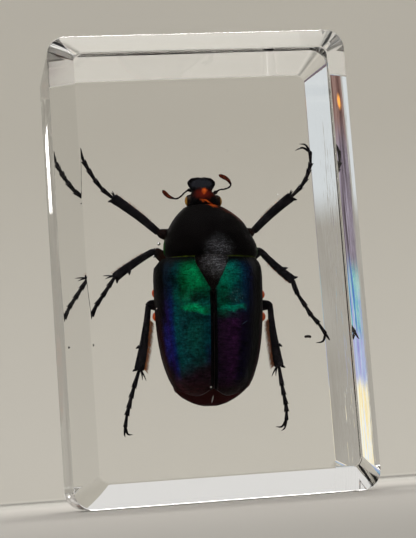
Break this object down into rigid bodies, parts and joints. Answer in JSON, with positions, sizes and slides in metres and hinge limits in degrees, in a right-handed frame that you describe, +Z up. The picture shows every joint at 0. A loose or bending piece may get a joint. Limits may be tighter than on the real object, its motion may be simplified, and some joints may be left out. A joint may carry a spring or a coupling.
{
  "type": "insect in resin block",
  "caption": "Clear bevelled resin block, standing on its short end, with a green and purple flower chafer cast inside, back to the front face.",
  "frame": {"origin": "centre of the bottom end face, on the surface that the block stands on", "axes": "+Z up along the block's length, towards the beetle's head; -Y is the front face, which the beetle's back faces; +X to the right seen from the front"},
  "size_m": [0.0288, 0.017, 0.0444],
  "materials": {
    "resin": "clear polished cast resin",
    "dark_chitin": "fine grained satin black",
    "shield": "fine grained black with a green rim",
    "wing_case_green": "iridescent green to blue violet",
    "wing_case_purple": "iridescent green to dark purple",
    "red_chitin": "dark red brown, satin",
    "leg": "black, satin"
  },
  "bodies": {
    "root": {"resin_front": "resin", "resin_back": "resin", "head": "dark_chitin", "antenna_left": "red_chitin", "antenna_right": "red_chitin", "pronotum": "shield", "scutellum": "dark_chitin", "elytron_left": "wing_case_green", "elytron_right": "wing_case_purple", "underbody": "red_chitin", "leg_front_left": "leg", "leg_front_right": "leg", "leg_middle_left": "leg", "leg_middle_right": "leg", "leg_hind_left": "leg", "leg_hind_right": "leg"}
  },
  "joints": []
}
